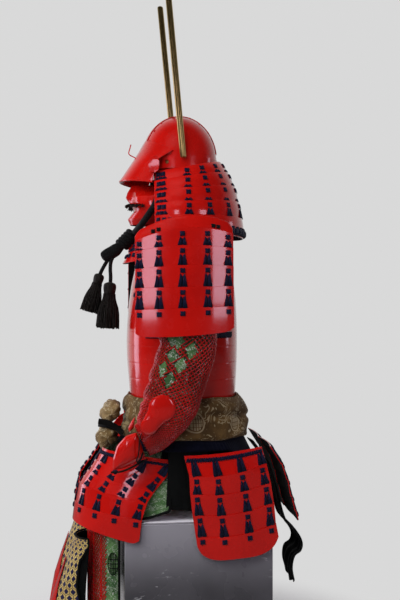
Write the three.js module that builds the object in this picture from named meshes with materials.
// A red-laced samurai armour set, seated on its storage box.
// Millimetres, +Z up. The armour faces -Y and its left side is +X.
import * as THREE from "three";

// Driving dimensions
const GAP = 0.3; // kept between pieces that touch
const PLATE = 3; // lacquered plate with its lining
const LAME = 4; // a laced lame with its backing
const STEP = 1.8; // how far a lame's foot lies inside the head of the next one
const CLOTH = 3; // quilted cloth
const boxSize = { halfWidth: 203, front: -170, back: 228, height: 448, lid: 6, round: 4 };
const bowlSize = { halfWidth: 100, halfDepth: 107, centreY: -5, springZ: 1440, crown: 126, rim: 1404 };
const hornSize = { radius: 8.75, foot: 1431, tip: 1925, lean: -47, spread: 9 };
const chestSquare = 2.5; // how square the trunk's sections are
const chestSections = [
  { z: 725, half: 142, front: -121, back: 147 },
  { z: 754, half: 150, front: -144, back: 152 },
  { z: 800, half: 156, front: -150, back: 155 },
  { z: 880, half: 164, front: -156, back: 158 },
  { z: 955, half: 167, front: -156, back: 158 },
  { z: 1030, half: 166, front: -150, back: 155 },
  { z: 1085, half: 162, front: -142, back: 149 },
  { z: 1135, half: 156, front: -131, back: 141 },
  { z: 1185, half: 148, front: -118, back: 130 },
];
const armholeZ = 1030;

// Colours of the finishes
const finishes = {
  lacquer: { color: 0xc3110a, roughness: 0.18, metalness: 0 },
  brass: { color: 0xbea55f, roughness: 0.3, metalness: 1 },
  box: { color: 0x4b4a4e, roughness: 0.45, metalness: 0 },
  black: { color: 0x0c0e10, roughness: 0.85, metalness: 0 },
  navy: { color: 0x121630, roughness: 0.9, metalness: 0 },
  mail: { color: 0x9c1a14, roughness: 0.6, metalness: 0 },
  brocade: { color: 0x5c8a50, roughness: 0.8, metalness: 0 },
  sash: { color: 0x8a6c34, roughness: 0.75, metalness: 0 },
  tortoise: { color: 0xcdb260, roughness: 0.8, metalness: 0 },
};

const armour = new THREE.Group();
const degrees = THREE.MathUtils.degToRad;
const mix = THREE.MathUtils.lerp;
const point = (x, y, z) => new THREE.Vector3(x, y, z);
const count = (n) => Array.from({ length: n }, (_, i) => i);
const steps = (n) => count(n + 1).map((i) => i / n);

function addPiece(name, geometry, finish) {
  const piece = new THREE.Mesh(geometry, new THREE.MeshStandardMaterial(finishes[finish]));
  piece.name = name;
  armour.add(piece);
}

// A body from shared points and triangles, with its faces turned outwards.
function body(points, triangles) {
  const volume = triangles.reduce((sum, [a, b, c]) => {
    return sum + points[a].dot(points[b].clone().cross(points[c]));
  }, 0);
  const outward = volume < 0 ? triangles.map(([a, b, c]) => [a, c, b]) : triangles;
  const geometry = new THREE.BufferGeometry().setFromPoints(points);
  geometry.setIndex(outward.flat());
  return geometry;
}

// Two equal grids of points, grid[column][row], joined along their borders into a wall.
function wall(outer, inner, round = false) {
  const columns = outer.length;
  const rows = outer[0].length;
  const points = [...outer.flat(), ...inner.flat()];
  const at = (i, j, side) => side * columns * rows + (i % columns) * rows + j;
  const triangles = [];
  const quad = (a, b, c, d) => triangles.push([a, b, c], [a, c, d]);
  const lastColumn = round ? columns : columns - 1;
  for (let i = 0; i < lastColumn; i += 1) {
    for (let j = 0; j < rows - 1; j += 1) {
      quad(at(i, j, 0), at(i + 1, j, 0), at(i + 1, j + 1, 0), at(i, j + 1, 0));
      quad(at(i, j, 1), at(i, j + 1, 1), at(i + 1, j + 1, 1), at(i + 1, j, 1));
    }
    quad(at(i + 1, 0, 0), at(i, 0, 0), at(i, 0, 1), at(i + 1, 0, 1));
    quad(at(i, rows - 1, 0), at(i + 1, rows - 1, 0), at(i + 1, rows - 1, 1), at(i, rows - 1, 1));
  }
  if (!round) {
    for (let j = 0; j < rows - 1; j += 1) {
      const k = columns - 1;
      quad(at(0, j, 0), at(0, j + 1, 0), at(0, j + 1, 1), at(0, j, 1));
      quad(at(k, j + 1, 0), at(k, j, 0), at(k, j, 1), at(k, j + 1, 1));
    }
  }
  return body(points, triangles);
}

// A sheet given as a function of (s, t), thickened inwards along its own normals.
function sheet(surface, columns, rows, thickness, round = false) {
  const step = 0.01;
  const across = round ? count(columns).map((i) => i / columns) : steps(columns);
  const normalAt = (s, t) => {
    const s0 = Math.max(s - step, round ? -step : 0);
    const t0 = Math.max(t - step, 0);
    const alongS = surface(Math.min(s + step, round ? 2 : 1), t).sub(surface(s0, t));
    const alongT = surface(s, Math.min(t + step, 1)).sub(surface(s, t0));
    return alongS.cross(alongT).normalize();
  };
  const outer = across.map((s) => steps(rows).map((t) => surface(s, t)));
  const inner = across.map((s) =>
    steps(rows).map((t) => surface(s, t).addScaledVector(normalAt(s, t), -thickness)),
  );
  return wall(outer, inner, round);
}

// Laced lames as one stepped plate. place(s, row, rise) gives a point and its outward direction:
// row is the lame, rise 0 its top edge and 1 its lower edge.
function lames(place, lameCount, columns, thickness = LAME) {
  const edges = count(lameCount).flatMap((row) => [[row, 0], [row, 1]]);
  const face = (depth) =>
    steps(columns).map((s) =>
      edges.map(([row, rise]) => {
        const { at, out } = place(s, row, rise);
        return at.clone().addScaledVector(out, -depth);
      }),
    );
  return wall(face(0), face(thickness));
}

// A rod or cord of round section along a curve through the points.
function rod(points, radius, stepCount, sides = 8) {
  const ring = new THREE.Shape();
  ring.absarc(0, 0, radius, 0, Math.PI * 2);
  const path = new THREE.CatmullRomCurve3(points);
  const options = { extrudePath: path, steps: stepCount, curveSegments: sides / 2, bevelEnabled: false };
  const geometry = new THREE.ExtrudeGeometry(ring, options);
  return closed(geometry);
}

// A closed solid through round sections along a path: { at, radius, flat } with flat the
// section's second half-width, and side the direction of the first.
function bundle(sections, side, sides = 10) {
  const ahead = (i) => {
    const a = sections[Math.max(i - 1, 0)].at;
    const b = sections[Math.min(i + 1, sections.length - 1)].at;
    return b.clone().sub(a).normalize();
  };
  const points = sections.flatMap(({ at, radius, flat = radius }, i) => {
    const up = ahead(i).cross(side).normalize();
    return count(sides).map((k) => {
      const turn = (k / sides) * Math.PI * 2;
      return at
        .clone()
        .addScaledVector(side, Math.cos(turn) * radius)
        .addScaledVector(up, Math.sin(turn) * flat);
    });
  });
  const triangles = [];
  const last = sections.length - 1;
  for (let i = 0; i < last; i += 1) {
    for (let k = 0; k < sides; k += 1) {
      const [a, b] = [i * sides + k, i * sides + ((k + 1) % sides)];
      triangles.push([a, b, b + sides], [a, b + sides, a + sides]);
    }
  }
  for (let k = 1; k < sides - 1; k += 1) {
    triangles.push([0, k + 1, k], [last * sides, last * sides + k, last * sides + k + 1]);
  }
  return body(points, triangles);
}

// A closed geometry reduced to shared positions.
function closed(geometry) {
  const positions = geometry.getAttribute("position");
  const index = geometry.getIndex();
  const points = [];
  const found = new Map();
  const shared = (i) => {
    const p = point(positions.getX(i), positions.getY(i), positions.getZ(i));
    const key = p.toArray().map((n) => Math.round(n * 1000)).join();
    if (!found.has(key)) {
      found.set(key, points.length);
      points.push(p);
    }
    return found.get(key);
  };
  const total = index ? index.count : positions.count;
  const corners = count(total).map((i) => shared(index ? index.getX(i) : i));
  const triangles = [];
  for (let i = 0; i < total; i += 3) {
    const [a, b, c] = corners.slice(i, i + 3);
    if (a !== b && b !== c && c !== a) triangles.push([a, b, c]);
  }
  return body(points, triangles);
}

// A value between the rows of a table with a z column, highest or lowest row first.
function atHeight(table, z, key) {
  const rising = [...table].sort((a, b) => a.z - b.z);
  const k = Math.max(rising.findIndex((row) => row.z >= z), 1);
  const [low, high] = [rising[k - 1], rising[k]];
  return mix(low[key], high[key], THREE.MathUtils.clamp((z - low.z) / (high.z - low.z), 0, 1));
}

const bulge = (s) => 1 - (2 * s - 1) ** 2;
const squared = (value, power) => Math.sign(value) * Math.abs(value) ** (2 / power);

// Storage box
function storageBox() {
  const { halfWidth, front, back, height, lid, round } = boxSize;
  const outline = new THREE.Shape();
  outline.moveTo(-halfWidth + round, front);
  outline.absarc(halfWidth - round, front + round, round, -Math.PI / 2, 0);
  outline.absarc(halfWidth - round, back - round, round, 0, Math.PI / 2);
  outline.absarc(-halfWidth + round, back - round, round, Math.PI / 2, Math.PI);
  outline.absarc(-halfWidth + round, front + round, round, Math.PI, Math.PI * 1.5);
  const block = (depth, z) => {
    const geometry = new THREE.ExtrudeGeometry(outline, { depth, curveSegments: 2, bevelEnabled: false });
    return closed(geometry.translate(0, 0, z));
  };
  addPiece("box_body", block(height - lid - GAP, 0), "box");
  addPiece("box_lid", block(lid, height - lid), "box");
}

// Helmet
function bowlPoint(turn, lift, grow = 0) {
  const { halfWidth, halfDepth, centreY, springZ, crown } = bowlSize;
  const level = Math.cos(lift);
  return point(
    (halfWidth + grow) * level * Math.sin(turn),
    centreY - (halfDepth + grow) * level * Math.cos(turn),
    springZ + (crown + grow) * Math.sin(lift),
  );
}

function helmetBowl() {
  const { halfWidth, halfDepth, centreY, springZ, crown, rim } = bowlSize;
  const arc = (inset) =>
    steps(6).map((t) => {
      const lift = degrees(90 * t);
      return [(halfWidth - inset) * Math.cos(lift), springZ + (crown - inset) * Math.sin(lift)];
    });
  const outside = [[halfWidth, rim], ...arc(0)];
  const inside = [[halfWidth - PLATE, rim], ...arc(PLATE)].reverse();
  const profile = [...outside, ...inside, outside[0]].map(([r, z]) => new THREE.Vector2(Math.max(r, 0), z));
  const bowl = new THREE.LatheGeometry(profile, 20).rotateX(Math.PI / 2);
  bowl.scale(1, halfDepth / halfWidth, 1).translate(0, centreY, 0);
  addPiece("helmet_bowl", closed(bowl), "lacquer");
}

function helmetVisor() {
  const reach = degrees(76);
  const rows = [
    { lift: 24, drop: 23 },
    { y: -128, half: 104, z: 1447, drop: 34 },
    { y: -153, half: 103, z: 1409, drop: 26 },
    { y: -176, half: 100, z: 1374, drop: 14 },
  ];
  const centreY = -62;
  const rowPoint = (row, turn, lift) => {
    if (row.lift) return bowlPoint(turn, degrees(mix(row.lift, row.lift - row.drop, 1 - Math.cos(turn))), lift);
    const [half, deep] = [row.half + lift, centreY - row.y + lift];
    const z = row.z + lift - row.drop * (1 - Math.cos(turn));
    return point(half * Math.sin(turn), centreY - deep * Math.cos(turn), z);
  };
  const face = (lift) =>
    steps(14).map((s) => rows.map((row) => rowPoint(row, mix(-reach, reach, s), lift)));
  addPiece("helmet_visor", wall(face(GAP + 1 + PLATE), face(GAP + 1)), "lacquer");
}

function turnback(name, side) {
  const surface = (s, t) => {
    const z = mix(1432, 1392, t);
    const flare = mix(9, 3, t) * s;
    return point(side * (109 + flare), mix(-96, -72, s) + 6 * bulge(t) * (s - 1), z);
  };
  addPiece(name, sheet(surface, 3, 4, -side * 2), "lacquer");
}

function horn(name, side) {
  const { radius, foot, tip, lean, spread } = hornSize;
  const footX = bowlSize.halfWidth + GAP + radius + 1;
  const round = [0.55, 0.9, 1];
  const place = (t) => point(side * (footX + spread * t), bowlSize.centreY + lean * t, mix(foot, tip, t));
  const end = radius / (tip - foot);
  const levels = [0, end * 0.4, end, 0.35, 0.7, 1 - end, 1 - end * 0.4, 1];
  const sections = levels.map((t, i) => ({
    at: place(t),
    radius: radius * (round[Math.min(i, levels.length - 1 - i)] ?? 1),
  }));
  addPiece(name, bundle(sections, point(1, 0, 0), 12), "brass");
}

// Neck guard: five lames round the back and sides, each outside the one above
const neckRows = [
  { half: 110, back: 114, backZ: 1436, frontZ: 1393 },
  { half: 126, back: 135, backZ: 1406, frontZ: 1366 },
  { half: 141, back: 155, backZ: 1366, frontZ: 1336 },
  { half: 152, back: 167, backZ: 1320, frontZ: 1303 },
  { half: 160, back: 177, backZ: 1272, frontZ: 1271 },
  { half: 166, back: 183, backZ: 1213, frontZ: 1238 },
];

function neckGuard() {
  const [frontReach, frontEnd] = [130, 131];
  const place = (s, row, rise) => {
    const turn = degrees(mix(-frontEnd, frontEnd, s));
    const edge = neckRows[row + rise];
    const half = edge.half - rise * STEP;
    const deep = Math.cos(turn) > 0 ? edge.back - rise * STEP : frontReach;
    const rear = (1 + Math.cos(turn)) / 2;
    const z = mix(edge.frontZ, edge.backZ, rear ** 1.5);
    const outward = point(Math.sin(turn), Math.cos(turn), 0);
    return { at: point(half * Math.sin(turn), deep * Math.cos(turn), z), out: outward };
  };
  addPiece("neck_guard", lames(place, 5, 16, PLATE), "lacquer");
}

// Face mask and throat guard
const maskRows = [
  { z: 1366, half: 17, brow: -131, nose: 10 },
  { z: 1346, half: 50, brow: -138, nose: 16 },
  { z: 1330, half: 71, brow: -140, nose: 19 },
  { z: 1315, half: 72, brow: -141, nose: 7 },
  { z: 1300, half: 71, brow: -138, nose: 0 },
  { z: 1286, half: 66, brow: -142, nose: 0 },
  { z: 1268, half: 55, brow: -150, nose: 0 },
  { z: 1252, half: 42, brow: -146, nose: 0 },
];
const cheekY = -78;

function maskPoint(s, z, grow = 0) {
  const half = atHeight(maskRows, z, "half");
  const brow = atHeight(maskRows, z, "brow");
  const nose = atHeight(maskRows, z, "nose");
  const turn = degrees(88) * (2 * s - 1);
  const ridge = nose * Math.exp(-((turn / 0.2) ** 2));
  const deep = cheekY - brow;
  return point(
    (half + grow) * Math.sin(turn),
    cheekY - (deep + grow) * Math.cos(turn) ** 0.9 - ridge,
    z,
  );
}

function faceMask() {
  const levels = maskRows.map((row) => row.z);
  const face = (grow) => steps(14).map((s) => levels.map((z) => maskPoint(s, z, grow)));
  addPiece("face_mask", wall(face(PLATE / 2), face(-PLATE / 2)), "lacquer");
}

function moustache() {
  const sections = steps(8).map((t) => {
    const s = mix(0.12, 0.88, t);
    const middle = bulge(t);
    const radius = mix(3, 9, middle);
    const at = maskPoint(s, mix(1300, 1313, middle), radius * 0.8 + PLATE + 1);
    return { at, radius, flat: radius * 0.75 };
  });
  addPiece("moustache", bundle(sections, point(0, 0, 1), 8), "black");
}

const throatRows = [
  { half: 60, front: -108, z: 1240 },
  { half: 76, front: -128, z: 1205 },
  { half: 90, front: -152, z: 1174 },
  { half: 101, front: -172, z: 1142 },
];

function throatGuard() {
  const [centreY, reach] = [-62, 55];
  const place = (s, row, rise) => {
    const edge = throatRows[row + rise];
    const turn = degrees(mix(-reach, reach, s));
    const out = -rise * STEP;
    const deep = centreY - edge.front + out;
    const z = edge.z + 14 * (1 - Math.cos(turn));
    const at = point((edge.half + out) * Math.sin(turn), centreY - deep * Math.cos(turn), z);
    return { at, out: point(Math.sin(turn), -Math.cos(turn), 0) };
  };
  addPiece("throat_guard", lames(place, 3, 8, PLATE), "lacquer");
}

// Cuirass
function chestPoint(turn, z, grow = 0) {
  const half = atHeight(chestSections, z, "half") + grow;
  const front = atHeight(chestSections, z, "front") - grow;
  const back = atHeight(chestSections, z, "back") + grow;
  const deep = Math.cos(turn) > 0 ? -front : back;
  return point(
    half * squared(Math.sin(turn), chestSquare),
    -deep * squared(Math.cos(turn), chestSquare),
    z,
  );
}

function chestHalf(name, facing, topRows) {
  const seam = 0.1;
  const levels = [725, 754, 800, 880, 955, armholeZ, ...topRows.map((row) => row.z)];
  const reachAt = (z) => {
    const row = topRows.find((entry) => entry.z === z);
    return degrees(row ? row.reach : 90 - seam);
  };
  const face = (grow) =>
    steps(10).map((s) =>
      levels.map((z) => chestPoint(facing + mix(-1, 1, s) * reachAt(z), z, grow)),
    );
  addPiece(name, wall(face(0), face(-PLATE)), "lacquer");
}

function shoulderStrap(name, side) {
  const sections = [
    { y: -104, z: 1138 },
    { y: -91, z: 1184 },
    { y: -50, z: 1213 },
    { y: 10, z: 1222 },
    { y: 66, z: 1212 },
    { y: 98, z: 1191 },
  ];
  const [x, half, thickness] = [108, 24, 3];
  const strap = sections.map(({ y, z }) => ({ at: point(side * x, y, z), radius: half, flat: thickness }));
  addPiece(name, bundle(strap, point(1, 0, 0), 8), "lacquer");
}

// Large shoulder guards
const sodePlan = { front: -144, back: 116, sag: 22 };
const sodeRows = [
  { front: 1193, middle: 1226, back: 1214, x: 250 },
  { front: 1165, middle: 1181, back: 1175, x: 253.5 },
  { front: 1118, middle: 1129, back: 1128, x: 257 },
  { front: 1069, middle: 1072, back: 1075, x: 260.5 },
  { front: 1012, middle: 1017, back: 1022, x: 264 },
  { front: 942, middle: 944, back: 957, x: 266 },
];

function threeWay(row, s) {
  const chord = mix(row.front, row.back, s);
  return chord + (row.middle - (row.front + row.back) / 2) * bulge(s);
}

function sodePoint(side, s, z, x) {
  const { front, back, sag } = sodePlan;
  return point(side * (x - sag * (1 - bulge(s))), mix(front, back, s), z);
}

function shoulderGuard(side, tag) {
  const place = (s, row, rise) => {
    const x = sodeRows[row].x + (rise ? 0.5 : 0);
    return { at: sodePoint(side, s, threeWay(sodeRows[row + rise], s), x), out: point(side, 0, 0) };
  };
  addPiece(`sode_${tag}`, lames(place, 5, 6), "lacquer");
  const low = { front: 1190, middle: 1223, back: 1211 };
  const high = { front: 1215, middle: 1260, back: 1241 };
  const face = (inset) =>
    steps(6).map((s) => [
      sodePoint(side, s, threeWay(low, s), sodeRows[0].x - LAME - 0.7 - inset),
      sodePoint(side, s, threeWay(high, s), sodeRows[0].x - LAME - 9 - inset),
    ]);
  addPiece(`sode_cap_${tag}`, wall(face(0), face(PLATE)), "lacquer");
}

// Armoured sleeves
const sleeveSections = [
  { x: 172, y: 4, z: 1196, across: 44, thick: 29 },
  { x: 197, y: 4, z: 1152, across: 59, thick: 33 },
  { x: 206, y: 0, z: 1090, across: 68, thick: 36 },
  { x: 210, y: -4, z: 1000, across: 76, thick: 36 },
  { x: 211, y: -6, z: 930, across: 77, thick: 36 },
  { x: 213, y: -18, z: 862, across: 73, thick: 35 },
  { x: 217, y: -38, z: 800, across: 72, thick: 33 },
  { x: 220, y: -60, z: 745, across: 68, thick: 31 },
  { x: 216, y: -84, z: 706, across: 57, thick: 29 },
  { x: 210, y: -102, z: 680, across: 47, thick: 26 },
  { x: 206, y: -124, z: 667, across: 42, thick: 22 },
];

function sleeveFrame(i) {
  const a = sleeveSections[Math.max(i - 1, 0)];
  const b = sleeveSections[Math.min(i + 1, sleeveSections.length - 1)];
  const along = point(0, b.y - a.y, b.z - a.z).normalize();
  return point(0, -along.z, along.y);
}

function sleeve(side, tag) {
  const face = (inset) =>
    count(12).map((k) =>
      sleeveSections.map(({ x, y, z, across, thick }, i) => {
        const turn = (k / 12) * Math.PI * 2;
        const wide = Math.cos(turn) * (across - inset);
        return point(side * (x + Math.sin(turn) * (thick - inset)), y, z).addScaledVector(sleeveFrame(i), wide);
      }),
    );
  addPiece(`sleeve_${tag}`, wall(face(0), face(CLOTH), true), "mail");
}

// A domed plate seen along X: an outline in y and z, raised to a crown
function domedPlate(name, side, outline, { x, rise, thickness, lean = 0 }) {
  const centre = outline.reduce((sum, p) => sum.add(p), new THREE.Vector2()).divideScalar(outline.length);
  const level = (p) => x + lean * (p.y - centre.y);
  const ring = (share, lift) =>
    outline.map((p) => {
      const q = centre.clone().lerp(p, share);
      return point(side * (level(q) + lift), q.x, q.y);
    });
  const rings = (depth) => [
    ring(1, -depth),
    ring(0.75, rise * 0.55 - depth),
    ring(0.35, rise * 0.95 - depth),
  ];
  const face = (depth, base) => {
    const tip = point(side * (level(centre) + rise - depth), centre.x, centre.y);
    return { points: [...rings(depth).flat(), tip], base };
  };
  const n = outline.length;
  const outer = face(0, 0);
  const inner = face(thickness, 3 * n + 1);
  const triangles = [];
  for (const [shell, flip] of [[outer, false], [inner, true]]) {
    const put = (a, b, c) => triangles.push(flip ? [a, c, b] : [a, b, c]);
    for (let k = 0; k < n; k += 1) {
      const next = (k + 1) % n;
      for (const row of [0, 1]) {
        const [a, b] = [shell.base + row * n + k, shell.base + row * n + next];
        put(a, b, b + n);
        put(a, b + n, a + n);
      }
      put(shell.base + 2 * n + k, shell.base + 2 * n + next, shell.base + 3 * n);
    }
  }
  for (let k = 0; k < n; k += 1) {
    const next = (k + 1) % n;
    triangles.push([next, k, inner.base + k], [next, inner.base + k, inner.base + next]);
  }
  addPiece(name, body([...outer.points, ...inner.points], triangles), "lacquer");
}

// Gourd-shaped elbow plate, its two lobes joined by a waist
function elbowPlate(side, tag) {
  const head = { y: -75, z: 757, radius: 36 };
  const lobe = { y: -108, z: 712, radius: 23 };
  const turnTo = Math.atan2(lobe.z - head.z, lobe.y - head.y);
  const arc = ({ y, z, radius }, from, to, n) =>
    steps(n).map((t) => {
      const turn = turnTo + degrees(mix(from, to, t));
      return new THREE.Vector2(y + radius * Math.cos(turn), z + radius * Math.sin(turn));
    });
  const outline = [...arc(head, 50, 310, 9), ...arc(lobe, -100, 100, 6)];
  domedPlate(`elbow_plate_${tag}`, side, outline, { x: 254, rise: 8, thickness: 2.5, lean: 0.06 });
}

function handGuard(side, tag) {
  const corners = [
    [-139, 692], [-158, 673], [-178, 650], [-192, 621], [-200, 590],
    [-170, 596], [-140, 609], [-115, 621], [-126, 658],
  ];
  const outline = corners.map(([y, z]) => new THREE.Vector2(y, z));
  domedPlate(`hand_guard_${tag}`, side, outline, { x: 212, rise: 22, thickness: 2.5, lean: 0.12 });
  const thumb = [[-142, 728], [-152, 716], [-160, 699], [-158, 687], [-146, 696], [-143, 710]];
  const thumbOutline = thumb.map(([y, z]) => new THREE.Vector2(y, z));
  domedPlate(`thumb_plate_${tag}`, side, thumbOutline, { x: 188, rise: 8, thickness: 2 });
}

// Sash, wound over the foot of the cuirass and tied in front in two rolls
const sashOuter = [
  { z: 770, half: 160, front: -153, back: 161 },
  { z: 752, half: 174, front: -163, back: 178 },
  { z: 712, half: 182, front: -168, back: 189 },
  { z: 676, half: 187, front: -173, back: 190 },
  { z: 660, half: 184, front: -171, back: 187 },
];
const sashInner = [
  { z: 767, half: 156, front: -149, back: 157 },
  { z: 752, half: 156, front: -149, back: 157 },
  { z: 712, half: 158, front: -150, back: 161 },
  { z: 676, half: 171, front: -160, back: 174 },
  { z: 663, half: 179, front: -166, back: 182 },
];

function waistRing(table, columns) {
  return count(columns).map((k) =>
    table.map(({ z, half, front, back }) => {
      const turn = (k / columns) * Math.PI * 2;
      const deep = Math.cos(turn) > 0 ? -front : back;
      return point(
        half * squared(Math.sin(turn), chestSquare),
        -deep * squared(Math.cos(turn), chestSquare),
        z,
      );
    }),
  );
}

function sash() {
  addPiece("sash", wall(waistRing(sashOuter, 24), waistRing(sashInner, 24), true), "sash");
  const roll = (name, rows) => {
    const sections = rows.map(({ x, y, z, radius, flat }) => ({ at: point(x, y, z), radius, flat }));
    addPiece(name, bundle(sections, point(0, 0.6, 0.8), 10), "sash");
  };
  roll("sash_knot_upper", [
    { x: -62, y: -198, z: 716, radius: 16, flat: 12 },
    { x: -46, y: -200, z: 718, radius: 30, flat: 20 },
    { x: 0, y: -202, z: 720, radius: 34, flat: 24 },
    { x: 46, y: -200, z: 718, radius: 30, flat: 20 },
    { x: 62, y: -198, z: 716, radius: 16, flat: 12 },
  ]);
  roll("sash_knot_lower", [
    { x: -58, y: -206, z: 650, radius: 16, flat: 14 },
    { x: -42, y: -210, z: 650, radius: 30, flat: 24 },
    { x: 0, y: -213, z: 650, radius: 34, flat: 27 },
    { x: 42, y: -210, z: 650, radius: 30, flat: 24 },
    { x: 58, y: -206, z: 650, radius: 16, flat: 14 },
  ]);
}

// Ribbed suspension lacing between the cuirass and the skirt panels
const lacingOuter = [
  { z: 724.7, half: 142, front: -121, back: 147 },
  { z: 706, half: 149, front: -140, back: 153 },
  { z: 680, half: 164, front: -152, back: 166 },
  { z: 655, half: 180, front: -167, back: 184 },
  { z: 632, half: 190, front: -184, back: 208 },
];

function suspensionLacing() {
  const inset = lacingOuter.map((row) => ({
    z: row.z - CLOTH * 0.4,
    half: row.half - CLOTH,
    front: row.front + CLOTH,
    back: row.back - CLOTH,
  }));
  inset[0].z = lacingOuter[0].z;
  addPiece("suspension_lacing", wall(waistRing(lacingOuter, 24), waistRing(inset, 24), true), "navy");
}

// Skirt panels
const hipRows = [
  { frontY: -12, frontZ: 622, backY: 199, backZ: 643, sag: 4, x: 200, slope: 10 },
  { frontY: 1, frontZ: 571, backY: 210, backZ: 601, sag: 14, x: 212.5, slope: 2 },
  { frontY: 3, frontZ: 524, backY: 221, backZ: 550, sag: 14, x: 217, slope: 1 },
  { frontY: 9, frontZ: 469, backY: 229, backZ: 497, sag: 14, x: 220.5, slope: 1 },
  { frontY: 17, frontZ: 413, backY: 234, backZ: 441, sag: 14, x: 224, slope: 1 },
  { frontY: 21, frontZ: 376, backY: 241, backZ: 394, sag: 34, x: 226, slope: 0, flatFoot: true },
];

function hipPanel(side, tag) {
  const bow = 8;
  const place = (s, row, rise) => {
    const edge = hipRows[row + rise];
    const lame = hipRows[row];
    const dip = edge.flatFoot ? 1 - (2 * s - 1) ** 4 : bulge(s);
    const x = lame.x + (rise ? lame.slope : 0) - bow * (1 - bulge(s));
    const at = point(side * x, mix(edge.frontY, edge.backY, s), mix(edge.frontZ, edge.backZ, s) - edge.sag * dip);
    return { at, out: point(side, 0, 0) };
  };
  addPiece(`kusazuri_hip_${tag}`, lames(place, 5, 7), "lacquer");
}

const frontRows = [
  { frontY: -226, frontZ: 632, backY: -27, backZ: 607, x: 180 },
  { frontY: -246, frontZ: 600, backY: -57, backZ: 567, x: 189 },
  { frontY: -266, frontZ: 572, backY: -89, backZ: 531, x: 197 },
  { frontY: -290, frontZ: 541, backY: -110, backZ: 503, x: 206 },
  { frontY: -303, frontZ: 490, backY: -125, backZ: 459, x: 214 },
  { frontY: -312, frontZ: 440, backY: -132, backZ: 394, x: 219 },
];

function frontPanel(side, tag) {
  const [centreX, inner, outer] = [85, -8, 90];
  const place = (s, row, rise) => {
    const edge = frontRows[row + rise];
    const turn = degrees(mix(inner, outer, s));
    const half = edge.x - centreX - rise * STEP;
    const deep = edge.backY - edge.frontY - rise * STEP;
    const z = mix(edge.frontZ, edge.backZ, 1 - Math.cos(turn));
    const at = point(side * (centreX + half * Math.sin(turn)), edge.backY - deep * Math.cos(turn), z);
    return { at, out: point(side * Math.sin(turn), -Math.cos(turn), 0) };
  };
  addPiece(`kusazuri_front_${tag}`, lames(place, 5, 7), "lacquer");
}

// Panels whose lames are the same across: the middle front one and the two at the back
function straightPanel(name, { rows, left, right, facing, bow, foot }) {
  const place = (s, row, rise) => {
    const edge = rows[row + rise];
    const y = edge.y - facing * rise * STEP - facing * bow * (1 - bulge(s));
    const last = rise && row === rows.length - 2;
    const z = edge.z + (last ? foot * (2 * s - 1) ** 4 : 0);
    return { at: point(mix(left, right, s), y, z), out: point(0, facing, 0) };
  };
  addPiece(name, lames(place, rows.length - 1, 5), "lacquer");
}

function middlePanels() {
  const middle = [
    { y: -226, z: 612 },
    { y: -251, z: 580 },
    { y: -268, z: 540 },
    { y: -277, z: 495 },
    { y: -282, z: 450 },
    { y: -284, z: 398 },
  ];
  straightPanel("kusazuri_centre", { rows: middle, left: -62, right: 62, facing: -1, bow: 7, foot: 12 });
  const back = [
    { y: 236, z: 640 },
    { y: 268, z: 594 },
    { y: 285, z: 549 },
    { y: 296, z: 504 },
    { y: 308, z: 463 },
    { y: 318, z: 426 },
  ];
  const shared = { rows: back, facing: 1, bow: 8, foot: 10 };
  straightPanel("kusazuri_rear_L", { ...shared, left: 4, right: 170 });
  straightPanel("kusazuri_rear_R", { ...shared, left: -170, right: -4 });
}

// Cloth between and behind the skirt panels
function waistCloth(side, tag) {
  const surface = (s, t) => {
    const z = mix(640, mix(482, 470, s), t);
    const x = mix(176, 196, t ** 0.6) + 3 * Math.sin(s * 7) * t;
    return point(side * x, mix(-22, 34, s) - 8 * t * (1 - s), z);
  };
  addPiece(`waist_cloth_${tag}`, sheet(surface, 6, 5, side * 2), "black");
}

const rearClothRows = [
  { y: 212, z: 628 },
  { y: 252, z: 572 },
  { y: 270, z: 515 },
  { y: 281, z: 470 },
  { y: 291, z: 430 },
  { y: 303, z: 400 },
  { y: 330, z: 371 },
  { y: 349, z: 338 },
  { y: 345, z: 312 },
  { y: 326, z: 296 },
  { y: 319, z: 262 },
  { y: 325, z: 222 },
];

function rearCloth() {
  const half = 62;
  const last = rearClothRows.length - 1;
  const surface = (s, t) => {
    const k = Math.min(Math.floor(t * last), last - 1);
    const share = t * last - k;
    const y = mix(rearClothRows[k].y, rearClothRows[k + 1].y, share);
    const z = mix(rearClothRows[k].z, rearClothRows[k + 1].z, share);
    return point(mix(-half, half, s), y - 7 * (1 - bulge(s)), z + 9 * t * (1 - bulge(s)));
  };
  addPiece("rear_cloth", sheet(surface, 6, last, -2), "black");
}

// Thigh apron: cloth over the thigh, hanging in front of the box with a splinted mail panel on it
const apronRows = [
  { frontY: -206, frontZ: 618, backY: -36, backZ: 598, x: 160 },
  { frontY: -236, frontZ: 560, backY: -44, backZ: 545, x: 184 },
  { frontY: -262, frontZ: 500, backY: -48, backZ: 500, x: 192 },
  { frontY: -268, frontZ: 446, backY: -52, backZ: 470, x: 194 },
];
const apronDrop = { frontY: -264, backY: -206, x: 184, top: 440, bottom: 196 };

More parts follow.
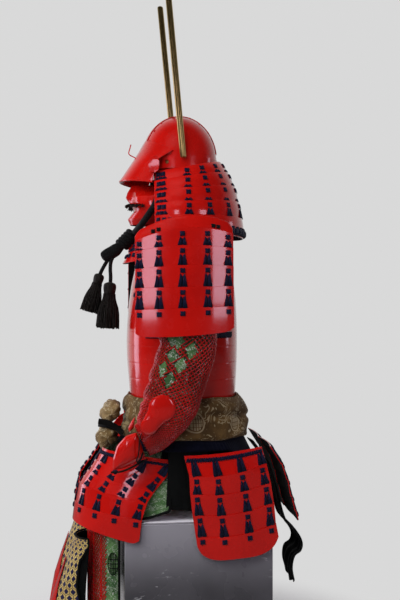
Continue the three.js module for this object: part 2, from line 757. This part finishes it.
function thighApron(side, tag) {
  const centreX = 84;
  const last = apronRows.length - 1;
  const upper = (s, t) => {
    const k = Math.min(Math.floor(t * last), last - 1);
    const share = t * last - k;
    const value = (key) => mix(apronRows[k][key], apronRows[k + 1][key], share);
    const turn = degrees(mix(-10, 90, s));
    const half = value("x") - centreX;
    const deep = value("backY") - value("frontY");
    const z = mix(value("frontZ"), value("backZ"), 1 - Math.cos(turn));
    const y = value("backY") - deep * Math.cos(turn);
    return point(side * (centreX + half * Math.sin(turn)), y, z);
  };
  addPiece(`thigh_apron_${tag}`, sheet(upper, 9, last, -side * CLOTH), "brocade");
  const { frontY, backY, x, top, bottom } = apronDrop;
  const lower = (grow) => (s, t) => {
    const turn = degrees(mix(-12, 86, s));
    const half = x - centreX + grow;
    const deep = backY - frontY + grow;
    const z = mix(top, bottom, t);
    return point(side * (centreX + half * Math.sin(turn)), backY - deep * Math.cos(turn), z);
  };
  addPiece(`apron_drop_${tag}`, sheet(lower(0), 8, 3, -side * CLOTH), "brocade");
  const splints = (s, t) => lower(GAP + 2.5)(mix(0.05, 0.68, s), mix(0.02, 0.97, t));
  addPiece(`apron_splints_${tag}`, sheet(splints, 6, 3, -side * 2), "mail");
}

// Knee and shin guards, open behind
function legGuard(side, tag) {
  const centreX = 122;
  const kneeRows = [
    { y: -300, z: 404, half: 50, deep: 26, reach: 88 },
    { y: -308, z: 385, half: 58, deep: 34, reach: 88 },
    { y: -322, z: 345, half: 63, deep: 40, reach: 88 },
    { y: -344, z: 285, half: 62, deep: 46, reach: 88 },
    { y: -362, z: 228, half: 56, deep: 50, reach: 88 },
  ];
  const shinRows = [
    { y: -322, z: 345, half: 63, deep: 40, reach: 26 },
    { y: -344, z: 285, half: 62, deep: 46, reach: 44 },
    { y: -362, z: 228, half: 56, deep: 50, reach: 66 },
    { y: -376, z: 200, half: 58, deep: 60, reach: 84 },
    { y: -381, z: 100, half: 53, deep: 64, reach: 88 },
    { y: -384, z: 14, half: 45, deep: 62, reach: 88 },
  ];
  const curved = (rows, grow) => (s, t) => {
    const k = Math.min(Math.floor(t * (rows.length - 1)), rows.length - 2);
    const share = t * (rows.length - 1) - k;
    const value = (key) => mix(rows[k][key], rows[k + 1][key], share);
    const turn = degrees(value("reach") * (2 * s - 1));
    const y = value("y") + (value("deep") + grow) * (1 - Math.cos(turn)) - grow;
    return point(side * (centreX + (value("half") + grow) * Math.sin(turn)), y, value("z"));
  };
  addPiece(`knee_guard_${tag}`, sheet(curved(kneeRows, 0), 10, 4, -side * CLOTH), "tortoise");
  addPiece(`shin_guard_${tag}`, sheet(curved(shinRows, GAP + 4.4), 10, 5, -side * 2), "lacquer");
}

// Helmet cord: over the cheeks, knotted under the chin, with a loop and two tasselled ends
function helmetCord() {
  const radius = 9.5;
  const route = [
    [79, -48, 1398],
    [85, -66, 1345],
    [86, -84, 1300],
    [66, -112, 1258],
    [38, -128, 1238],
    [21, -134, 1231],
  ];
  for (const [tag, side] of [["L", 1], ["R", -1]]) {
    const points = route.map(([x, y, z]) => point(side * x, y, z));
    addPiece(`chin_cord_${tag}`, rod(points, radius, 10), "black");
  }
  const knot = steps(10).map((t) => ({
    at: point(0, mix(-136, -178, t), mix(1231, 1188, t)),
    radius: t === 0 || t === 1 ? 13 : [17, 15][Math.round(t * 10) % 2],
  }));
  addPiece("cord_knot", bundle(knot, point(1, 0, 0), 10), "black");
  const loop = [
    { at: point(0, -181, 1186), radius: 17, flat: 14 },
    { at: point(0, -196, 1176), radius: 19, flat: 17 },
    { at: point(0, -212, 1167), radius: 19, flat: 16 },
    { at: point(0, -222, 1160), radius: 16, flat: 11 },
    { at: point(0, -226, 1156), radius: 10, flat: 6 },
  ];
  addPiece("cord_loop", bundle(loop, point(1, 0, 0), 10), "black");
  const ends = [
    { tag: 1, x: -9, route: [[-214, 1148], [-222, 1134], [-229, 1120], [-234, 1108]] },
    { tag: 2, x: 9, route: [[-205, 1147], [-203, 1126], [-203, 1104], [-204, 1082]] },
  ];
  for (const { tag, x, route: line } of ends) {
    addPiece(`cord_end_${tag}`, rod(line.map(([y, z]) => point(x, y, z)), 5.5, 6), "black");
  }
  const tassel = (name, x, [topY, topZ], [footY, footZ], wide) => {
    const shape = [
      { t: 0, share: 0.34 }, { t: 0.06, share: 0.5 }, { t: 0.2, share: 0.52 },
      { t: 0.27, share: 0.38 }, { t: 0.55, share: 0.78 }, { t: 1, share: 1 },
    ];
    const sections = shape.map(({ t, share }) => ({
      at: point(x, mix(topY, footY, t), mix(topZ, footZ, t)),
      radius: wide * share,
    }));
    addPiece(name, bundle(sections, point(1, 0, 0), 10), "black");
  };
  tassel("tassel_1", -12, [-235, 1107], [-264, 1003], 25);
  tassel("tassel_2", 12, [-205, 1081], [-212, 956], 30);
}

function build() {
  storageBox();
  helmetBowl();
  helmetVisor();
  neckGuard();
  faceMask();
  moustache();
  throatGuard();
  chestHalf("cuirass_front", 0, [{ z: 1085, reach: 60 }, { z: 1132, reach: 46 }]);
  chestHalf("cuirass_rear", Math.PI, [{ z: 1085, reach: 64 }, { z: 1135, reach: 54 }, { z: 1185, reach: 48 }]);
  sash();
  suspensionLacing();
  middlePanels();
  rearCloth();
  helmetCord();
  for (const [tag, side] of [["L", 1], ["R", -1]]) {
    turnback(`turnback_${tag}`, side);
    horn(`horn_${tag}`, side);
    shoulderStrap(`shoulder_strap_${tag}`, side);
    shoulderGuard(side, tag);
    sleeve(side, tag);
    elbowPlate(side, tag);
    handGuard(side, tag);
    hipPanel(side, tag);
    frontPanel(side, tag);
    waistCloth(side, tag);
    thighApron(side, tag);
    legGuard(side, tag);
  }
  const extent = new THREE.Box3().setFromObject(armour);
  const centre = extent.getCenter(new THREE.Vector3());
  armour.position.set(-centre.x, -centre.y, -extent.min.z);
  armour.updateMatrixWorld(true);
}

build();

export default armour;
